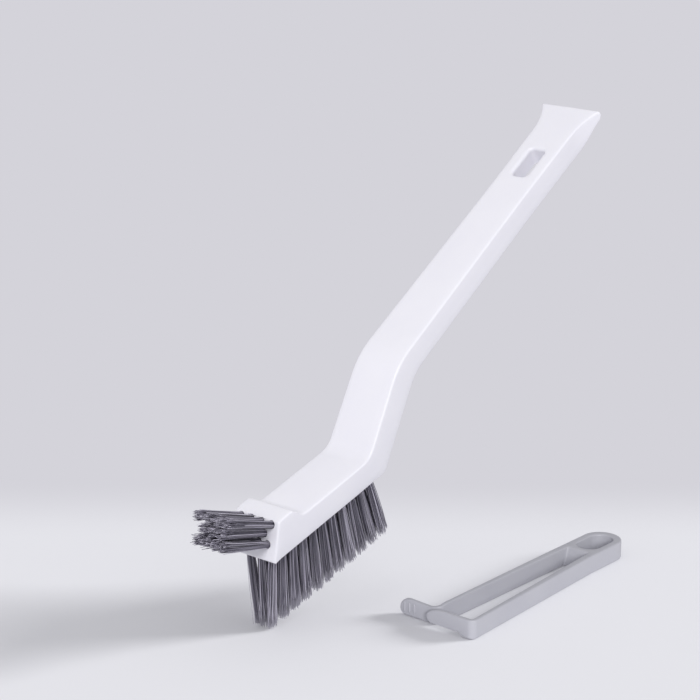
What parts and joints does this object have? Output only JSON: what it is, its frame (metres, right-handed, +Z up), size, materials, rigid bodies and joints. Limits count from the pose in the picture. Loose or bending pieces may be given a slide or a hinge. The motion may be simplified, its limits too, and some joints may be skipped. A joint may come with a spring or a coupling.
{
  "type": "grout brush with spring clip",
  "caption": "Angled grout brush with bristle tufts under the head and on its front face, a hanging slot in the flared tail, and a loose spring clip beside it.",
  "frame": {"origin": "middle of the whole set's bounding box, on the surface that the clip lies on and the first lower tufts touch", "axes": "+X from the front tufts to the tail of the handle, +Y from the clip to the brush, +Z up; the brush is tipped nose-down about Y"},
  "size_m": [0.2523, 0.0934, 0.1943],
  "materials": {
    "moulding": "satin",
    "anchor_wire": "bare flat wire",
    "bristle": "fine filaments with rough, paler ends",
    "clip_plastic": "satin"
  },
  "bodies": {
    "brush": {"handle": "moulding", "tuft_anchors": "anchor_wire", "lower_tuft_r1_c1": "bristle", "lower_tuft_r1_c2": "bristle", "lower_tuft_r1_c3": "bristle", "lower_tuft_r2_c1": "bristle", "lower_tuft_r2_c2": "bristle", "lower_tuft_r2_c3": "bristle", "lower_tuft_r3_c1": "bristle", "lower_tuft_r3_c2": "bristle", "lower_tuft_r3_c3": "bristle", "lower_tuft_r4_c1": "bristle", "lower_tuft_r4_c2": "bristle", "lower_tuft_r4_c3": "bristle", "lower_tuft_r5_c1": "bristle", "lower_tuft_r5_c2": "bristle", "lower_tuft_r5_c3": "bristle", "lower_tuft_r6_c1": "bristle", "lower_tuft_r6_c2": "bristle", "lower_tuft_r6_c3": "bristle", "lower_tuft_r7_c1": "bristle", "lower_tuft_r7_c2": "bristle", "lower_tuft_r7_c3": "bristle", "lower_tuft_r8_c1": "bristle", "lower_tuft_r8_c2": "bristle", "lower_tuft_r8_c3": "bristle", "lower_tuft_r9_c1": "bristle", "lower_tuft_r9_c2": "bristle", "lower_tuft_r9_c3": "bristle", "lower_tuft_r10_c1": "bristle", "lower_tuft_r10_c2": "bristle", "lower_tuft_r10_c3": "bristle", "lower_tuft_r11_c1": "bristle", "lower_tuft_r11_c2": "bristle", "lower_tuft_r11_c3": "bristle", "front_tuft_r1_c1": "bristle", "front_tuft_r1_c2": "bristle", "front_tuft_r1_c3": "bristle", "front_tuft_r1_c4": "bristle", "front_tuft_r2_c1": "bristle", "front_tuft_r2_c2": "bristle", "front_tuft_r2_c3": "bristle", "front_tuft_r3_c1": "bristle", "front_tuft_r3_c2": "bristle", "front_tuft_r3_c3": "bristle", "front_tuft_r3_c4": "bristle"},
    "clip": {"clip_ring": "clip_plastic"},
    "clip_near": {"clip_near_arm": "clip_plastic"},
    "clip_far": {"clip_far_arm": "clip_plastic"}
  },
  "joints": [
    {"name": "clip_lift", "type": "slide", "parent": "brush", "child": "clip", "axis": [0, 0, 1], "range_m": [0, 0.06]},
    {"name": "near_arm_flex", "type": "hinge", "parent": "clip", "child": "clip_near", "pos_m": [0.04756, -0.03995, 0], "axis": [0, 0, -1], "range_deg": [0, 1.4], "stiffness_Nm_per_rad": 0.4},
    {"name": "far_arm_flex", "type": "hinge", "parent": "clip", "child": "clip_far", "pos_m": [0.04756, -0.02485, 0], "axis": [0, 0, 1], "range_deg": [0, 1.4], "stiffness_Nm_per_rad": 0.4}
  ],
  "couplings": [
    {"joint": "far_arm_flex", "follows": "near_arm_flex", "ratio": 1}
  ]
}
